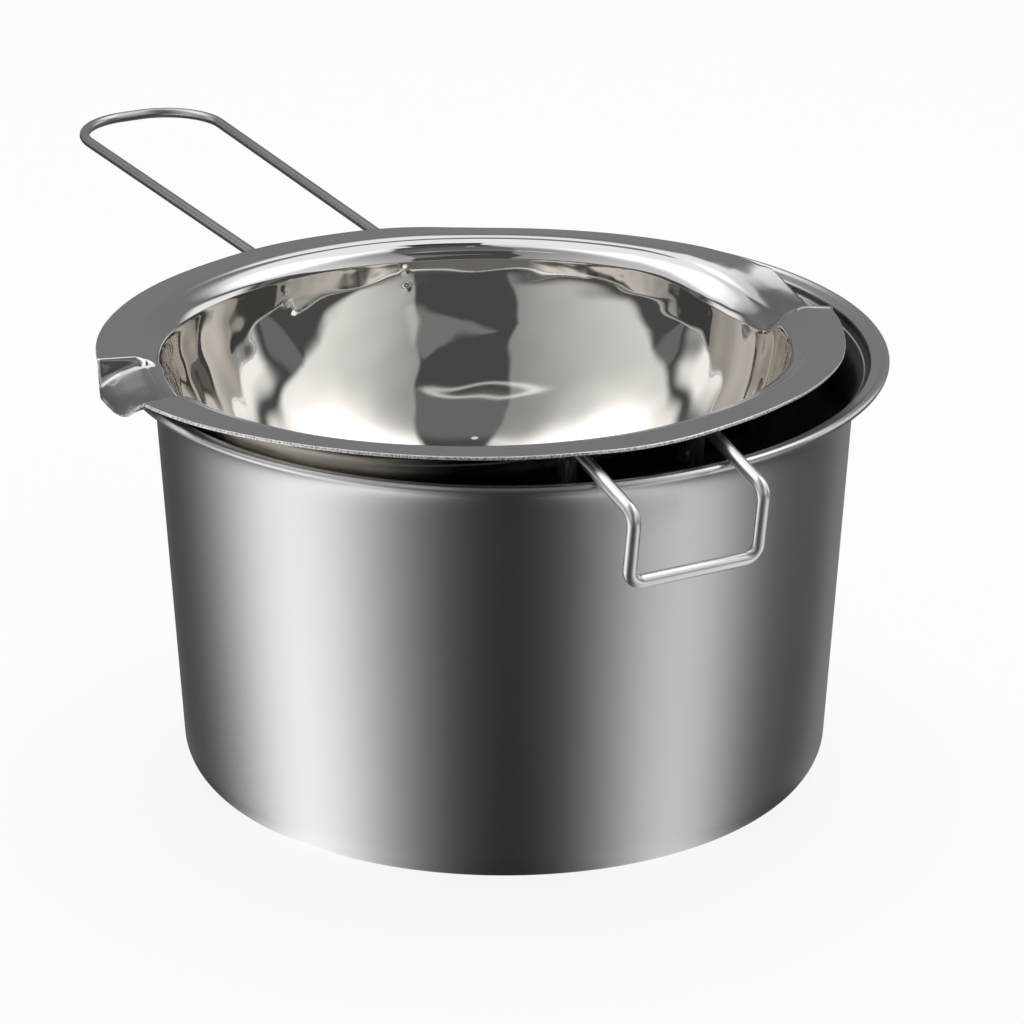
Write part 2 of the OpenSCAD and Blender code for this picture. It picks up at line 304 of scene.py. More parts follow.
def bowl_rows(n_bottom, n_round, n_high, n_mouth, n_flange):
    """The bowl's section from the middle of its bottom to the flange's edge: radius, height, edge share."""
    rows = [(BOTTOM_R * (i + 1) / n_bottom, -DEPTH, 0.0) for i in range(n_bottom)]
    low = [-90 + (90 - HIGH_WALL) * (i + 1) / n_round for i in range(n_round)]
    high = [-HIGH_WALL + (HIGH_WALL - WALL_LEAN) * (i + 1) / n_high for i in range(n_high)]
    for a in low + high:
        a = math.radians(a)
        rows.append((BOTTOM_R + ROUND_R * math.cos(a), ROUND_Z + ROUND_R * math.sin(a), 0.0))
    rows += mouth_section(n_mouth)
    rows += [(FLAT_START, 0.0, (i + 1) / n_flange) for i in range(n_flange)]
    return np.array(rows)


def wall_radius(z):
    return BOTTOM_R + np.sqrt(ROUND_R**2 - (z - ROUND_Z) ** 2)


# where the press takes hold, as radii and heights in the bowl, and the size of a weld's mark
MOUTH_START, HALFWAY_SPAN, LIP_START, LIP_SPAN = 113, 15, 124, 13
WALL_TOP, PULLED_TO, PULLED_SPAN, ROUND_PART = -8, -42, 33, -60
MARK_R, MARK_HIGH, MARK_RING, MARKS_BELOW = 1.6, 0.11, 0.08, -6


def bowl_face(rows):
    """The bowl's inner face, with its spouts, its warp, the polisher's waves and the marks of the welds."""
    r0, z0, share = (rows[:, k][:, None] for k in range(3))
    theta = columns[None, :]
    at_mouth, halfway = round_bowl(MOUTH_PRESS, theta, 0.6), round_bowl(HALFWAY_PRESS, theta, 0.35)
    at_lip = round_bowl(LIP_PRESS, theta, 0.35)
    edge = FLANGE_R + round_bowl(EDGE_OUT, theta, 0.5)
    edge = np.minimum(edge, LIP_REACH / np.maximum(-np.cos(np.radians(theta)), 0.5))
    r = np.where(share > 0, FLAT_START + share * (edge - FLAT_START), r0 + 0 * theta)
    # the press takes the flange and mouth down, and the top of the wall with them
    first = ease((r - MOUTH_START) / HALFWAY_SPAN)
    second = np.clip((r - LIP_START) / LIP_SPAN, 0, 1.1) ** 2
    pressed = at_mouth * (1 - first) + halfway * first
    pressed = pressed * (1 - second) + at_lip * second
    wall = z0 < -MOUTH_R + MOUTH_R * math.sin(math.radians(WALL_LEAN)) + 0.01
    z = z0 - np.where(wall, at_mouth * ease((z0 - PULLED_TO) / PULLED_SPAN), pressed)
    lean = wall_radius(WALL_TOP) - wall_radius(WALL_TOP - at_mouth)
    lean = lean * np.clip((FLAT_START - r) / MOUTH_WIDE, 0, 1)
    r = np.where(wall & (z0 > ROUND_PART), wall_radius(z), np.where(wall, r, r - lean))
    warped = np.clip((r - MOUTH_START) / (FLANGE_R - MOUTH_START), 0, 1.2) ** 1.5
    z = z + round_bowl(WARP, theta, 3) * warped
    # hand of the polisher: the mirror wall is out of true by up to a fifth of a millimetre, fading out at the
    # mouth and in the middle of the bottom
    a = np.radians(theta)
    wave = 0.03 * np.sin(18 * a + z / 2.1) + 0.026 * np.sin(13 * a - z / 2.7 + 1.1)
    wave += 0.022 * np.sin(31 * a + z / 4.6 + 2.3) + 0.014 * np.sin(z / 1.9 + 2 * np.sin(3 * a))
    wave += 0.11 * np.sin(42 * a + 0.6 * np.sin(z / 9)) * np.abs(np.cos(a + YAW)) ** 3
    r = r + wave * np.clip((WALL_TOP - z) / 8, 0, 1) * np.clip((r - 25) / 30, 0, 1)
    dent = np.zeros_like(r)
    for weld in WELD_ANGLES:
        for deep in WELD_DEPTHS:
            side = ((theta - weld + 180) % 360 - 180) * math.pi / 180 * r
            q = (side**2 + (z + deep) ** 2) / MARK_R**2
            dent += (MARK_HIGH - MARK_RING * q) * np.exp(-q)
    r = r + dent * (z0 < MARKS_BELOW)
    return np.stack([r * np.cos(a), r * np.sin(a), z], -1)


def grid_normals(grid):
    """The way out through the sheet at each point of a face."""
    du = np.roll(grid, -1, 1) - np.roll(grid, 1, 1)
    dv = np.gradient(grid, axis=0)
    n = np.cross(du, dv)
    return n / np.maximum(np.linalg.norm(n, axis=-1, keepdims=True), 1e-9)


inner_rows = bowl_rows(n_bottom=5, n_round=60, n_high=28, n_mouth=40, n_flange=12)
inner = bowl_face(inner_rows)
outer = bowl_face(bowl_rows(n_bottom=4, n_round=14, n_high=6, n_mouth=12, n_flange=8))
outer = outer + SHEET * grid_normals(outer)
outer[-1] = inner[-1] + SHEARED * grid_normals(inner)[-1]
middle = np.array((0, 0, -DEPTH))
n_cols = len(columns)
# the sheared edge, slightly rounded between the two faces
out_of_edge = inner[-1] - inner[-2]
out_of_edge = out_of_edge / np.linalg.norm(out_of_edge, axis=-1, keepdims=True)
EDGE_ROUND = 0.8
sheared = [
    inner[-1] + (outer[-1] - inner[-1]) * t + out_of_edge * EDGE_ROUND * t * (1 - t)
    for t in (0.12, 0.35, 0.65, 0.88)
]
poles = np.array([middle, middle - (0, 0, SHEET)])
verts = np.concatenate([inner.reshape(-1, 3), outer.reshape(-1, 3), np.concatenate(sheared), poles])
first_outer = inner.shape[0] * n_cols
pole_in, pole_out = len(verts) - 2, len(verts) - 1
bowl_faces = []
for start, count, turned in ((0, inner.shape[0], True), (first_outer, outer.shape[0], False)):
    for i in range(count - 1):
        low, high = start + i * n_cols, start + (i + 1) * n_cols
        for k in range(n_cols):
            m = (k + 1) % n_cols
            quad = (low + k, low + m, high + m, high + k)
            bowl_faces.append(quad[::-1] if turned else quad)
for k in range(n_cols):
    m = (k + 1) % n_cols
    bowl_faces.append((pole_in, k, m))
    bowl_faces.append((pole_out, first_outer + m, first_outer + k))
first_edge = len(bowl_faces)
last_in, last_out = (inner.shape[0] - 1) * n_cols, first_outer + (outer.shape[0] - 1) * n_cols
first_sheared = last_out + n_cols
edge_rows = [last_in] + [first_sheared + i * n_cols for i in range(len(sheared))] + [last_out]
for upper, under in zip(edge_rows, edge_rows[1:]):
    for k in range(n_cols):
        m = (k + 1) % n_cols
        bowl_faces.append((upper + m, upper + k, under + k, under + m))

# mirror inside, satin flange and nearly mirror outside, from how far each point was polished, a warm tint on
# the polished steel that paints warm reflections, and painted shade that darkens the spouts' floors
bowl_mat, tree, shader = steel("polished_bowl_steel", (0.68, 0.66, 0.63), 0.1)
polish = node(tree, "ShaderNodeAttribute", attribute_name="polish")
warm_reflection_tint = node(tree, "ShaderNodeAttribute", attribute_name="warm_reflection_tint")
coords = node(tree, "ShaderNodeTexCoord")
centred = node(tree, "ShaderNodeMapping")
centred.inputs["Location"].default_value = (-SEAT[0] * MM, -SEAT[1] * MM, 0)
tree.links.new(coords.outputs["Object"], centred.inputs["Vector"])
flat = node(tree, "ShaderNodeVectorMath", operation="MULTIPLY")
flat.inputs[1].default_value = (1, 1, 0)
tree.links.new(centred.outputs[0], flat.inputs[0])
from_axis = node(tree, "ShaderNodeVectorMath", operation="LENGTH")
tree.links.new(flat.outputs[0], from_axis.inputs[0])
turned_lines = node(tree, "ShaderNodeTexNoise", noise_dimensions="1D", Scale=2200.0, Detail=3.0)
tree.links.new(from_axis.outputs["Value"], turned_lines.inputs["W"])
smears = node(tree, "ShaderNodeTexNoise", Scale=45.0, Detail=3.0)
tree.links.new(coords.outputs["Object"], smears.inputs["Vector"])
tint = node(tree, "ShaderNodeMix", data_type="RGBA")
tint.inputs["A"].default_value = (0.62, 0.62, 0.63, 1)
tint.inputs["B"].default_value = (0.72, 0.69, 0.65, 1)
tree.links.new(warm_reflection_tint.outputs["Fac"], tint.inputs["Factor"])
# painted shade in the spouts' floors, mixed into the colour
spout = node(tree, "ShaderNodeAttribute", attribute_name="drawn")
shaded_tint = node(tree, "ShaderNodeMix", data_type="RGBA")
shaded_tint.inputs["B"].default_value = (0.42, 0.41, 0.40, 1)
tree.links.new(spout.outputs["Fac"], shaded_tint.inputs["Factor"])
tree.links.new(tint.outputs["Result"], shaded_tint.inputs["A"])
tree.links.new(shaded_tint.outputs["Result"], shader.inputs["Base Color"])
satin = ranged(tree, turned_lines.outputs["Fac"], 0.12, 0.2)
mirror = ranged(tree, smears.outputs["Fac"], 0.02, 0.055)
worked = node(tree, "ShaderNodeMix", data_type="FLOAT")
tree.links.new(polish.outputs["Fac"], worked.inputs["Factor"])
tree.links.new(satin.outputs[0], worked.inputs["A"])
tree.links.new(mirror.outputs[0], worked.inputs["B"])
tree.links.new(worked.outputs["Result"], shader.inputs["Roughness"])
lines_fade = ranged(tree, polish.outputs["Fac"], 0.06, 0.0)
bump = raised(tree, shader, turned_lines.outputs["Fac"], 1.0, 0.0001)
tree.links.new(lines_fade.outputs[0], bump.inputs["Strength"])


def toned(tree, shader, value, low, low_colour, high, high_colour):
    """The steel's colour, from one to another between two levels of a pattern."""
    ramp = node(tree, "ShaderNodeValToRGB")
    for end, level, colour in zip(ramp.color_ramp.elements, (low, high), (low_colour, high_colour)):
        end.position = level
        end.color = (*colour, 1)
    tree.links.new(value, ramp.inputs["Fac"])
    tree.links.new(ramp.outputs["Color"], shader.inputs["Base Color"])


# the sheared edge: bright and grainy where the press cut the sheet
edge_mat, tree, shader = steel("sheared_edge_steel", (0.86, 0.86, 0.85), 0.5)
coords = node(tree, "ShaderNodeTexCoord")
grain = node(tree, "ShaderNodeTexNoise", Scale=1300.0, Detail=2.0)
tree.links.new(coords.outputs["Object"], grain.inputs["Vector"])
tree.links.new(ranged(tree, grain.outputs["Fac"], 0.4, 0.7).outputs[0], shader.inputs["Roughness"])
toned(tree, shader, grain.outputs["Fac"], 0.38, (0.42, 0.42, 0.41), 0.56, (0.97, 0.97, 0.96))
raised(tree, shader, grain.outputs["Fac"], 0.8, 0.0003)

bowl = mesh_piece("bowl", seated(verts) * MM, bowl_faces, bowl_mat)
bowl.data.materials.append(edge_mat)
for k in range(first_edge, len(bowl_faces)):
    bowl.data.polygons[k].material_index = 1
OUTSIDE_POLISH = 0.9
POLISH_TOP, POLISH_FADE = 0.3, 2
WARM_TOP, WARM_FADE = -4, 5
TROUGH_SHADE_DEPTH, TROUGH_SHADE_FADE, TROUGH_SHADE_FROM, TROUGH_SHADE_SPAN = 2.5, 4, 112, 8
row_radius, row_height = inner_rows[:, 0], inner_rows[:, 1]
polished = np.full(len(verts), OUTSIDE_POLISH)
polished[:first_outer] = np.repeat(ease((POLISH_TOP - row_height) / POLISH_FADE), n_cols)
polished[pole_in] = 1
painted(bowl, "polish", polished)
# painted reflection: a warm tint on the outside and on the inside below the mouth
painted_warm = np.ones(len(verts))
painted_warm[:first_outer] = np.repeat(ease((WARM_TOP - row_height) / WARM_FADE), n_cols)
painted(bowl, "warm_reflection_tint", painted_warm)
# painted shade: the spouts' floors are darker the deeper the press sank them, from the mouth outwards
drawn = np.zeros(len(verts))
pressed = np.clip((row_height[:, None] - inner[..., 2] - TROUGH_SHADE_DEPTH) / TROUGH_SHADE_FADE, 0, 1)
drawn[:first_outer] = (pressed * ease((row_radius[:, None] - TROUGH_SHADE_FROM) / TROUGH_SHADE_SPAN)).ravel()
painted(bowl, "drawn", drawn)
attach(bowl, "bowl")
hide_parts("bowl_shell")

# Wires
# The long handle and the rim hook are drawn stainless wire, each bent in one piece: two legs down the bowl's
# wall, out under the flange, and round in a loop. The feet are spot welded to the wall.


def shape_tree(name, sizes):
    """An empty node tree with named inputs: the geometry to start from, the sizes and the material."""
    tree = bpy.data.node_groups.new(name, "GeometryNodeTree")
    tree.is_modifier = True
    for label, kind in [("Geometry", "Geometry"), *sizes, ("Material", "Material")]:
        tree.interface.new_socket(label, in_out="INPUT", socket_type="NodeSocket" + kind)
    tree.interface.new_socket("Geometry", in_out="OUTPUT", socket_type="NodeSocketGeometry")
    return tree, node(tree, "NodeGroupInput")


def close_tree(tree, given, shape):
    """The end of a node tree: smooth shading, real mesh in place of instances, and the material."""
    smooth = node(tree, "GeometryNodeSetShadeSmooth")
    real = node(tree, "GeometryNodeRealizeInstances")
    paint = node(tree, "GeometryNodeSetMaterial")
    result = node(tree, "NodeGroupOutput")
    tree.links.new(shape, smooth.inputs["Geometry"])
    tree.links.new(smooth.outputs[0], real.inputs[0])
    tree.links.new(real.outputs[0], paint.inputs["Geometry"])
    tree.links.new(given.outputs["Material"], paint.inputs["Material"])
    tree.links.new(paint.outputs[0], result.inputs[0])


def wire_sweep():
    """A path's corners rounded to their own radii, and a round wire swept along it."""
    sizes = [("Wire diameter", "Float"), ("Bend steps", "Int"), ("Sides", "Int")]
    tree, given = shape_tree("wire_sweep", sizes)
    to_curve = node(tree, "GeometryNodeMeshToCurve")
    radius = node(tree, "GeometryNodeInputNamedAttribute", data_type="FLOAT", Name="bend_radius")
    fillet = node(tree, "GeometryNodeFilletCurve", mode="POLY")
    half = node(tree, "ShaderNodeMath", operation="MULTIPLY")
    half.inputs[1].default_value = 0.5
    ring = node(tree, "GeometryNodeCurvePrimitiveCircle")
    place_on = node(tree, "GeometryNodeSplineParameter")
    place_round = node(tree, "GeometryNodeSplineParameter")
    along = node(tree, "GeometryNodeStoreNamedAttribute", Name="along")
    around = node(tree, "GeometryNodeStoreNamedAttribute", Name="around")
    sweep = node(tree, "GeometryNodeCurveToMesh")
    sweep.inputs["Fill Caps"].default_value = True
    link = tree.links.new
    link(given.outputs["Geometry"], to_curve.inputs[0])
    link(to_curve.outputs[0], fillet.inputs["Curve"])
    link(given.outputs["Bend steps"], fillet.inputs["Count"])
    link(radius.outputs["Attribute"], fillet.inputs["Radius"])
    link(given.outputs["Wire diameter"], half.inputs[0])
    link(half.outputs[0], ring.inputs["Radius"])
    link(given.outputs["Sides"], ring.inputs["Resolution"])
    link(fillet.outputs[0], along.inputs["Geometry"])
    link(place_on.outputs["Length"], along.inputs["Value"])
    link(ring.outputs[0], around.inputs["Geometry"])
    link(place_round.outputs["Factor"], around.inputs["Value"])
    link(along.outputs[0], sweep.inputs["Curve"])
    link(around.outputs[0], sweep.inputs["Profile Curve"])
    close_tree(tree, given, sweep.outputs[0])
    return tree


def settled(obj, name, tree, values):
    """Runs a node tree on an object and leaves the result as a plain mesh of that name."""
    mod = obj.modifiers.new("tree", "NODES")
    mod.node_group = tree
    for item in tree.interface.items_tree:
        if item.item_type == "SOCKET" and item.in_out == "INPUT" and item.name in values:
            mod[item.identifier] = values[item.name]
    bpy.context.view_layer.update()
    dg = bpy.context.evaluated_depsgraph_get()
    mesh = bpy.data.meshes.new_from_object(obj.evaluated_get(dg), depsgraph=dg)
    obj.modifiers.remove(mod)
    mesh.name = name
    obj.data = mesh
    return obj


def path_object(name, points, radii):
    """A wire's path as straight runs, with the radius of the bend at each corner."""
    mesh = bpy.data.meshes.new(name)
    mesh.from_pydata([tuple(p) for p in points], [(i, i + 1) for i in range(len(points) - 1)], [])
    obj = bpy.data.objects.new(name, mesh)
    painted(obj, "bend_radius", [r * MM for r in radii])
    scene.collection.objects.link(obj)
    return obj


def loop_path(leg, turn):
    """Both legs of a wire loop, turned about the bowl's axis and set in its place in the pot."""
    c, s = math.cos(math.radians(turn)), math.sin(math.radians(turn))
    both = leg + [(-x, y, z) for x, y, z in reversed(leg)]
    return seated([(x * c - y * s, x * s + y * c, z) for x, y, z in both]) * MM


def drawn_wire(name, tint, finest, dullest):
    """Drawn wire: faint lines from the die along its length, a little cloudier in patches."""
    mat, tree, shader = steel(name, (tint, tint, tint + 0.01), finest)
    coords = node(tree, "ShaderNodeTexCoord")
    along = node(tree, "ShaderNodeAttribute", attribute_name="along")
    around = node(tree, "ShaderNodeAttribute", attribute_name="around")
    on_wire = node(tree, "ShaderNodeCombineXYZ")
    tree.links.new(along.outputs["Fac"], on_wire.inputs["X"])
    tree.links.new(around.outputs["Fac"], on_wire.inputs["Y"])
    pulled = node(tree, "ShaderNodeMapping")
    pulled.inputs["Scale"].default_value = (30, 34, 1)
    tree.links.new(on_wire.outputs[0], pulled.inputs["Vector"])
    die_lines = node(tree, "ShaderNodeTexNoise", Scale=1.0, Detail=3.0)
    tree.links.new(pulled.outputs[0], die_lines.inputs["Vector"])
    clouds = node(tree, "ShaderNodeTexNoise", Scale=120.0, Detail=2.0)
    tree.links.new(coords.outputs["Object"], clouds.inputs["Vector"])
    both = node(tree, "ShaderNodeMath", operation="ADD")
    tree.links.new(die_lines.outputs["Fac"], both.inputs[0])
    tree.links.new(clouds.outputs["Fac"], both.inputs[1])
    rough = ranged(tree, both.outputs[0], finest, dullest)
    rough.inputs["From Max"].default_value = 2.0
    tree.links.new(rough.outputs[0], shader.inputs["Roughness"])
    raised(tree, shader, die_lines.outputs["Fac"], 0.05, 0.0001)
    return mat


# one wire steel in two tints: painted shade darkens the handle and painted light brightens the hook
handle_steel_painted_dark = drawn_wire("drawn_handle_steel", 0.5, 0.24, 0.34)
hook_steel_painted_light = drawn_wire("drawn_hook_steel", 0.78, 0.24, 0.4)
sweep_tree = wire_sweep()
LEG_FOOT = 21.76
HANDLE_D, HANDLE_TURN, HANDLE_BEND, HANDLE_END_R = 4.1, 1.2, 4.866, 25
handle_leg = [(26, 110.851, -LEG_FOOT), (26, 114.498, -4.134), (29.5, 315.52, 3.237)]
handle_bends = [0, HANDLE_BEND, HANDLE_END_R, HANDLE_END_R, HANDLE_BEND, 0]
handle = path_object("long_handle_wire", loop_path(handle_leg, HANDLE_TURN), handle_bends)
settled(handle, "long_handle_wire", sweep_tree,
        {"Wire diameter": HANDLE_D * MM, "Bend steps": 24, "Sides": 32, "Material": handle_steel_painted_dark})
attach(handle, "bowl")
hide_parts("long_handle")

HOOK_D, HOOK_TURN, HOOK_HALF, HOOK_FOOT_BEND, HOOK_BEND = 4.9, 3, 25.5, 5.2, 5.5
hook_section = [(-111.378, -LEG_FOOT), (-114.941, -3.8), (-157.5, -15.457), (-153.1, -41.457)]
hook_leg = [(HOOK_HALF, y, z) for y, z in hook_section]
hook_bends = [0, HOOK_FOOT_BEND] + [HOOK_BEND] * 4 + [HOOK_FOOT_BEND, 0]
hook = path_object("rim_hook_wire", loop_path(hook_leg, HOOK_TURN), hook_bends)
settled(hook, "rim_hook_wire", sweep_tree,
        {"Wire diameter": HOOK_D * MM, "Bend steps": 18, "Sides": 40, "Material": hook_steel_painted_light})
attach(hook, "bowl")
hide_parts("rim_hook")

# Spot welds
# Small flattened nuggets of fused steel between each wire leg and the bowl's outer wall, two to a leg, with
# the straw and brown tint that the heat leaves.


def weld_nuggets():
    """A flattened ball at each point, facing the way that the point says."""
    tree, given = shape_tree("weld_nuggets", [("Nugget radius", "Float"), ("Nugget height", "Float")])
    ball = node(tree, "GeometryNodeMeshUVSphere", Segments=24, Rings=14, Radius=1.0)
    squash = node(tree, "ShaderNodeCombineXYZ")
    outward = node(tree, "GeometryNodeInputNamedAttribute", data_type="FLOAT_VECTOR", Name="outward")
    turn = node(tree, "FunctionNodeAlignRotationToVector", axis="Z")
    place = node(tree, "GeometryNodeInstanceOnPoints")
    link = tree.links.new
    link(given.outputs["Nugget radius"], squash.inputs["X"])
    link(given.outputs["Nugget radius"], squash.inputs["Y"])
    link(given.outputs["Nugget height"], squash.inputs["Z"])
    link(outward.outputs["Attribute"], turn.inputs["Vector"])
    link(given.outputs["Geometry"], place.inputs["Points"])
    link(ball.outputs["Mesh"], place.inputs["Instance"])
    link(turn.outputs["Rotation"], place.inputs["Rotation"])
    link(squash.outputs[0], place.inputs["Scale"])
    close_tree(tree, given, place.outputs[0])
    return tree


weld_mat, tree, shader = steel("heat_tinted_weld", (0.48, 0.46, 0.43), 0.5)
coords = node(tree, "ShaderNodeTexCoord")
scale_marks = node(tree, "ShaderNodeTexNoise", Scale=700.0, Detail=3.0)
tree.links.new(coords.outputs["Object"], scale_marks.inputs["Vector"])
toned(tree, shader, scale_marks.outputs["Fac"], 0.35, (0.3, 0.24, 0.19), 0.65, (0.56, 0.54, 0.51))
tree.links.new(ranged(tree, scale_marks.outputs["Fac"], 0.4, 0.65).outputs[0], shader.inputs["Roughness"])
raised(tree, shader, scale_marks.outputs["Fac"], 0.3, 0.0002)

nugget_tree = weld_nuggets()
WELD_WALL, WELD_OUT, WELD_DROOP = [113.42, 112.06], 0.25, -0.15
NUGGET_R, NUGGET_H = 1.8, 0.95
for name, replaced, angles in (
    ("handle_weld_nuggets", "handle_welds", WELD_ANGLES[:2]),
    ("hook_weld_nuggets", "hook_welds", WELD_ANGLES[2:]),
):
    spots = []
    for a in angles:
        spots += [(math.radians(a), r + WELD_OUT, -deep) for r, deep in zip(WELD_WALL, WELD_DEPTHS)]
    at = seated([(r * math.cos(a), r * math.sin(a), z) for a, r, z in spots]) * MM
    points = bpy.data.meshes.new(name)
    points.from_pydata([tuple(p) for p in at], [], [])
    facing = [k for a, r, z in spots for k in (math.cos(a), math.sin(a), WELD_DROOP)]
    points.attributes.new("outward", "FLOAT_VECTOR", "POINT").data.foreach_set("vector", facing)
    welds = bpy.data.objects.new(name, points)
    scene.collection.objects.link(welds)
    settled(welds, name, nugget_tree,
            {"Nugget radius": NUGGET_R * MM, "Nugget height": NUGGET_H * MM, "Material": weld_mat})
    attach(welds, "bowl")
    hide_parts(replaced)

# Studio
# A plain pale floor that stays white to the camera, and round it a light tent that only the metal sees: two
# large soft panels at the sides, a dark strip between them, a white panel at the back and low lights.
world = bpy.data.worlds.new("studio")
scene.world = world
world.use_nodes = True
tree = world.node_tree
background = tree.nodes["Background"]
background.inputs["Color"].default_value = (1, 1, 1, 1)
world.cycles.sampling_method = "NONE"
# the mirror bowl shows itself many times over near its sides, which turn black with the usual four bounces
scene.cycles.glossy_bounces = 12
scene.cycles.max_bounces = 16


def shown_white(tree):
    """1 for what the camera, metal and glass see, 0 for what lights the floor."""
    paths = node(tree, "ShaderNodeLightPath")
    either = node(tree, "ShaderNodeMath", operation="MAXIMUM")
    tree.links.new(paths.outputs["Is Camera Ray"], either.inputs[0])
    tree.links.new(paths.outputs["Is Glossy Ray"], either.inputs[1])
    all_three = node(tree, "ShaderNodeMath", operation="MAXIMUM")
    tree.links.new(either.outputs[0], all_three.inputs[0])
    tree.links.new(paths.outputs["Is Transmission Ray"], all_three.inputs[1])
    return all_three.outputs[0]


FILL, WHITE, FLOOR_WHITE = 0.35, 1.0, 0.9
tree.links.new(ranged(tree, shown_white(tree), FILL, WHITE).outputs[0], background.inputs["Strength"])

floor_mat = bpy.data.materials.new("pale_floor")
floor_mat.use_nodes = True
tree = floor_mat.node_tree
matt = tree.nodes["Principled BSDF"]
matt.inputs["Base Color"].default_value = (0.9, 0.9, 0.9, 1)
matt.inputs["Roughness"].default_value = 0.9
matt.inputs["Specular IOR Level"].default_value = 0.0
glow = node(tree, "ShaderNodeEmission", Strength=WHITE)
mix = node(tree, "ShaderNodeMixShader")
seen = node(tree, "ShaderNodeMath", operation="MULTIPLY")
seen.inputs[1].default_value = FLOOR_WHITE
tree.links.new(shown_white(tree), seen.inputs[0])
tree.links.new(seen.outputs[0], mix.inputs["Fac"])
tree.links.new(matt.outputs[0], mix.inputs[1])
tree.links.new(glow.outputs[0], mix.inputs[2])
tree.links.new(mix.outputs[0], tree.nodes["Material Output"].inputs["Surface"])
FLOOR = 8.0
floor_corners = [(-FLOOR, -FLOOR, 0), (FLOOR, -FLOOR, 0), (FLOOR, FLOOR, 0), (-FLOOR, FLOOR, 0)]
floor = mesh_piece("floor", floor_corners, [(0, 1, 2, 3)], floor_mat)


def lobe(x, at, low_side, high_side):
    """A soft bump that falls off at its own rate on each side."""
    return np.exp(-(((x - at) / np.where(x < at, low_side, high_side)) ** 2))


def rise(x, start, soft):
    """From 0 to 1 across a soft step."""
    return ease((x - start) / soft + 0.5)


# how bright each part of the tent is, where 1 is white. A floor light is given by its level, the way it lies
# in degrees right of the camera, and how far it spreads to its left and right.
FLOOR_DARK, FLOOR_BEHIND = 0.022, 0.03
FLOOR_LIGHTS = [(1.44, -76, 30, 34), (0.88, 64, 28, 26), (0.16, 152, 14, 20)]
FLOOR_BACK = 0.12
CLOTH, CLOTH_BEHIND, CLOTH_OVER = 0.085, 0.17, 0.1
LEFT_PANEL, RIGHT_PANEL, PANEL_HEART = 0.36, 0.42, 1.9
BACK_PANEL, BACK_BLOCK, LOW_LIGHT, WEDGE, HOOP = 1.25, 0.05, 1.2, 0.15, 0.6


def floor_glow(az, reach):
    """Light off the tent's floor, laid out so that an upright wall shows it as upright bands."""
    wall = 0.125
    off_wall = wall / np.maximum(reach, wall + 0.001)
    a = np.radians(az) / 2
    for _ in range(20):
        a = (np.radians(az) + np.arcsin(np.clip(off_wall * np.sin(a), -1, 1))) / 2
    toward = np.degrees(2 * a)
    glow = FLOOR_DARK + FLOOR_BEHIND * rise(np.abs(toward), 100, 40)
    for level, at, left, right in FLOOR_LIGHTS:
        glow = glow + level * lobe(toward, at, left, right)
    return glow + FLOOR_BACK * lobe(np.abs(toward), 180, 20, 20)


def tent_glow(az, el):
    """Light from the tent's wall, by the angle right of the camera and the angle up."""
    a, e = np.radians(az), np.radians(el)
    side = np.cos(e) * np.sin(a)
    over = np.degrees(np.arctan2(np.sin(e), np.cos(e) * np.cos(a)))
    glow = CLOTH + CLOTH_BEHIND * rise(np.abs(az), 125, 40) * rise(75 - el, 0, 30)
    glow = glow + CLOTH_OVER * rise(over, 66, 4) * rise(90 - over, 0, 6)
    # side panels, either side of a dark strip that runs up the front and over the top
    panels = rise(166 - np.abs(az), 0, 24) * rise(el, 40, 16) + rise(128 - np.abs(az), 0, 26)
    panels = np.clip(panels + rise(el, 62, 14), 0, 1) * rise(150 - over, 0, 30)
    hot = PANEL_HEART * lobe(np.abs(az), 112, 28, 44) * lobe(el, 55, 15, 27)
    edge = [-0.22, -0.28, -0.21, -0.19, -0.15, -0.05, -0.05, 0.6]
    strip_left = np.interp(over, [10, 30, 45, 62, 82, 94, 97, 100], edge)
    lower = np.interp(-az, [20, 60, 75, 90, 110, 130], [9, 11, 20, 29, 33, 33])
    on = rise(strip_left - side, 0, 0.03) * rise(el - lower, 0, 5) * panels
    glow = glow * (1 - on) + (LEFT_PANEL + 0.75 * np.clip(-side - 0.25, 0, 1) + hot) * on
    edge = [0.4, 0.35, 0.35, 0.33, 0.3, 0.21, 0.21, -0.6]
    strip_right = np.interp(over, [10, 30, 45, 62, 80, 94, 97, 100], edge)
    lower = np.interp(az, [24, 45, 60, 70, 80, 110, 130], [7, 10, 17, 25, 30, 33, 33])
    on = rise(side - strip_right, 0, 0.03) * rise(el - lower, 0, 5) * panels
    glow = glow * (1 - on) + (RIGHT_PANEL + 1.2 * np.clip(side - 0.36, 0, 0.6) + hot) * on
    # a back panel that the mouth's curve shows as a white band, with a dark block in it
    back = rise(over, 98, 4) * rise(133 - over, 0, 7) * rise(0.34 - np.abs(side), 0, 0.14)
    block = rise(over, 97, 2) * rise(107 - over, 0, 2)
    block = block * rise(side + 0.03, 0, 0.008) * rise(0.14 - side, 0, 0.008)
    glow = glow * (1 - back) + BACK_PANEL * back
    glow = glow * (1 - block) + BACK_BLOCK * block
    # low lights at the far left and right
    low_end = np.where(az < 0, 119, 135)
    low = rise(np.abs(az), 97, 12) * rise(low_end - np.abs(az), 0, 16) * rise(25 - el, 0, 8)
    glow = glow * (1 - low) + LOW_LIGHT * low
    # paler wedge in the dark strip, and a bright hoop that holds the cloth over it
    top = np.interp(az, [-10, 8, 18, 28], [36, 38, 41, 47])
    foot = np.interp(az, [-10, 5, 15, 25], [35, 32, 26, 23])
    wedge = rise(top - el, 0, 1.5) * rise(el - foot, 0, 3) * rise(az, -8, 6) * rise(28 - az, 0, 4)
    glow = glow + WEDGE * wedge
    hoop = np.abs(np.hypot((side + 0.05) / 0.28, (over - 65) / 3.2) - 1)
    glow = glow + HOOP * np.exp(-((hoop / 0.2) ** 2))
    return glow


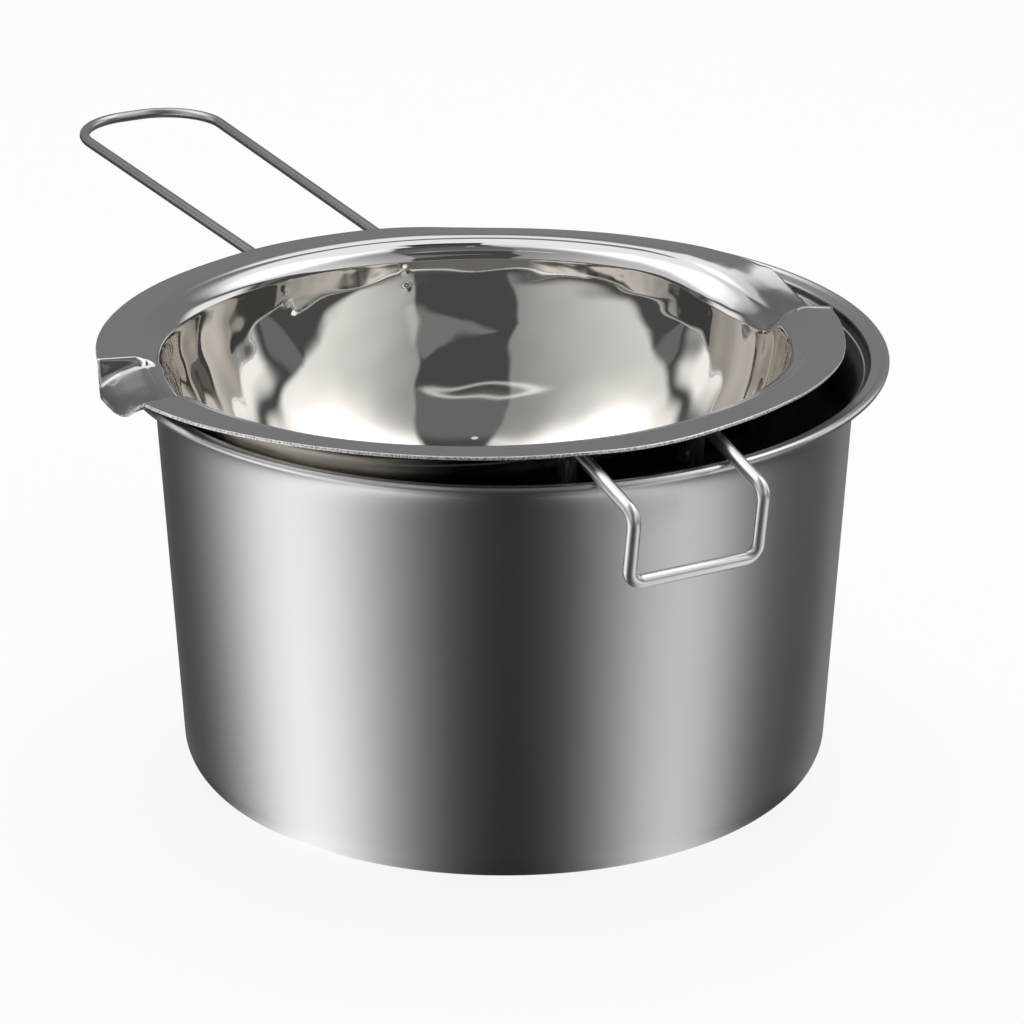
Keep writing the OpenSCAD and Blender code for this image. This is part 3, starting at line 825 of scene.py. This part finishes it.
TENT_R, TENT_SIDES, TENT_FOOT = 3.0, 720, 0.0004
FLOOR_REACH = [0.05, 0.126, 0.14, 0.16, 0.18, 0.21, 0.25, 0.3, 0.38, 0.5, 0.7, 1.0, 1.6, 2.3]
tent_rows = [(r, TENT_FOOT, -1.0) for r in FLOOR_REACH + [TENT_R]]
for up in np.arange(0, 89.9, 0.75):
    e = math.radians(up)
    tent_rows.append((TENT_R * math.cos(e), TENT_FOOT + TENT_R * math.sin(e), up))
reach, height, el = (np.repeat(k, TENT_SIDES) for k in np.array(tent_rows).T)
az = np.tile(-180 + 360 * np.arange(TENT_SIDES) / TENT_SIDES, len(tent_rows))
x, y = np.sin(np.radians(az)) * reach, -np.cos(np.radians(az)) * reach
c, s = math.cos(YAW), math.sin(YAW)
tent_verts = np.stack([x * c + y * s, y * c - x * s, height], -1)
tent_faces = []
for i in range(len(tent_rows) - 1):
    for k in range(TENT_SIDES):
        m = (k + 1) % TENT_SIDES
        low, high = i * TENT_SIDES, (i + 1) * TENT_SIDES
        tent_faces.append((low + k, low + m, high + m, high + k))
tent_mat = bpy.data.materials.new("tent_cloth")
tent_mat.use_nodes = True
tent_mat.cycles.emission_sampling = "NONE"
tree = tent_mat.node_tree
tree.nodes.remove(tree.nodes["Principled BSDF"])
glow = node(tree, "ShaderNodeEmission")
value = node(tree, "ShaderNodeAttribute", attribute_name="glow")
tree.links.new(value.outputs["Fac"], glow.inputs["Strength"])
tree.links.new(glow.outputs[0], tree.nodes["Material Output"].inputs["Surface"])
tent = mesh_piece("light_tent", tent_verts, tent_faces, tent_mat)
tent_light = np.where(el < 0, floor_glow(az, reach), tent_glow(az, el))
painted(tent, "glow", tent_light)
# only reflections see the tent
tent.visible_camera = False
tent.visible_diffuse = False
tent.visible_shadow = False
tent.visible_transmission = False

lamp = bpy.data.lights.new("overhead", "AREA")
lamp.shape = "DISK"
lamp.size = 1.6
lamp.energy = 30
top = bpy.data.objects.new("overhead", lamp)
scene.collection.objects.link(top)
top.location = (0.2, 0.3, 2.2)
top.visible_camera = False
top.visible_glossy = False

# Camera
# The photograph's view: a long lens from a little above, with the frame moved to where the pot stands. Its
# lens and shift are in pixels of the square picture.
FRAME, LENS, SHIFT_X, SHIFT_Y, SENSOR = 1024, 5000, 7.85, 40.49, 36
CAMERA_BACK, CAMERA_UP, AIM_UP = 1.71446, 0.77443, 0.08
camera_data = bpy.data.cameras.new("camera")
camera_data.sensor_width = SENSOR
camera_data.lens = LENS / FRAME * SENSOR
camera_data.shift_x = SHIFT_X / FRAME
camera_data.shift_y = SHIFT_Y / FRAME
camera_data.clip_end = 50
camera = bpy.data.objects.new("camera", camera_data)
scene.collection.objects.link(camera)
aim = Vector((0, 0, AIM_UP))
camera.location = Vector((-CAMERA_BACK * math.sin(YAW), -CAMERA_BACK * math.cos(YAW), CAMERA_UP))
camera.rotation_euler = (aim - camera.location).to_track_quat("-Z", "Y").to_euler()
scene.camera = camera
scene.view_settings.view_transform = "Standard"
